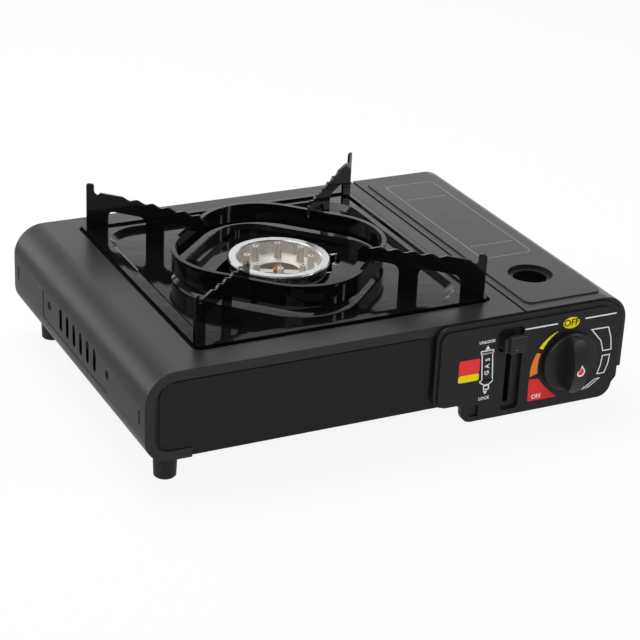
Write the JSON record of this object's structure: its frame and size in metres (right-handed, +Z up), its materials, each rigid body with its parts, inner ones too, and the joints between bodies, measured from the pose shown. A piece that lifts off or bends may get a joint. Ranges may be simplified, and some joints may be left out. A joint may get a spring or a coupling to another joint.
{
  "type": "butane cassette stove",
  "caption": "Portable single-burner butane cassette stove with a flat rectangular case, a lift-out drip tray with a four-fin trivet, a hinged canister lid, a lock lever and a gas knob.",
  "frame": {"origin": "under the middle of the stove's overall box, on the ground", "axes": "+X to the canister side, +Y from the knob to the rear, +Z up"},
  "size_m": [0.34, 0.266, 0.1115],
  "materials": {
    "case_coat": "satin black powder coat, faintly grained",
    "plate_coat": "satin black coat",
    "zinc_steel": "zinc-plated sheet, dull",
    "panel_plastic": "fine-grained black plastic",
    "knob_plastic": "satin black plastic",
    "brass": "turned brass",
    "diecast": "matt die-cast",
    "seal_rubber": "black rubber",
    "tube_aluminium": "drawn aluminium tube",
    "burner_casting": "matt cast aluminium",
    "burner_polish": "turned and polished",
    "igniter_plastic": "black plastic",
    "igniter_plunger": "natural acetal",
    "lead_silicone": "red silicone insulation",
    "ceramic": null,
    "bright_steel": "zinc-plated steel",
    "black_steel": "screws coated black",
    "enamel": "glossy black enamel",
    "foot_plastic": "black plastic"
  },
  "bodies": {
    "stove": {"case_shell": "case_coat", "front_plate": "plate_coat", "rear_plate": "plate_coat", "base_plate": "zinc_steel", "bay_trough": "zinc_steel", "heat_shield": "zinc_steel", "vent_baffle": "zinc_steel", "control_panel": "panel_plastic", "regulator_body": "diecast", "regulator_bracket": "zinc_steel", "canister_seat": "brass", "seal_ring": "seal_rubber", "gas_pipe": "tube_aluminium", "jet_holder": "brass", "mixing_tube": "tube_aluminium", "burner_base": "burner_casting", "burner_ring": "burner_polish", "burner_bar": "burner_casting", "burner_nozzle": "brass", "burner_bracket": "zinc_steel", "igniter_body": "igniter_plastic", "igniter_lead": "lead_silicone", "electrode_ceramic": "ceramic", "electrode_wire": "bright_steel", "lever_pin": "bright_steel", "hinge_pin_front": "bright_steel", "hinge_pin_rear": "bright_steel", "foot_front_left": "foot_plastic", "foot_front_right": "foot_plastic", "foot_rear_left": "foot_plastic", "foot_rear_right": "foot_plastic", "side_screws": "black_steel", "foot_screws": "bright_steel", "panel_screws": "bright_steel", "bracket_screws": "bright_steel"},
    "knob": {"gas_knob": "knob_plastic", "valve_spindle": "brass"},
    "plunger": {"igniter_plunger": "igniter_plunger"},
    "lever": {"lock_lever": "zinc_steel", "lever_knob": "knob_plastic"},
    "carriage": {"canister_carriage": "zinc_steel"},
    "lid": {"lid": "case_coat"},
    "trivet": {"drip_tray": "enamel", "trivet_ring": "enamel", "fin_front_left": "enamel", "fin_front_right": "enamel", "fin_rear_left": "enamel", "fin_rear_right": "enamel"}
  },
  "joints": [
    {"name": "lid_hinge", "type": "hinge", "parent": "stove", "child": "lid", "pos_m": [0.1666, 0.01, 0.0235], "axis": [0, 1, 0], "range_deg": [0, 90]},
    {"name": "knob_turn", "type": "hinge", "parent": "stove", "child": "knob", "pos_m": [0.125, -0.113, 0.04], "axis": [0, -1, 0], "range_deg": [0, 135]},
    {"name": "plunger_push", "type": "slide", "parent": "stove", "child": "plunger", "axis": [0, 1, 0], "range_m": [0, 0.004]},
    {"name": "lever_swing", "type": "hinge", "parent": "stove", "child": "lever", "pos_m": [0.0804, -0.075, 0.041], "axis": [1, 0, 0], "range_deg": [0, 41.7]},
    {"name": "carriage_slide", "type": "slide", "parent": "stove", "child": "carriage", "axis": [0, -1, 0], "range_m": [0, 0.0106]},
    {"name": "trivet_lift", "type": "slide", "parent": "stove", "child": "trivet", "axis": [0, 0, 1], "range_m": [0, 0.06]}
  ],
  "couplings": [
    {"joint": "plunger_push", "follows": "knob_turn", "m_per_rad": 0.001698},
    {"joint": "carriage_slide", "follows": "lever_swing", "m_per_rad": 0.014564}
  ]
}
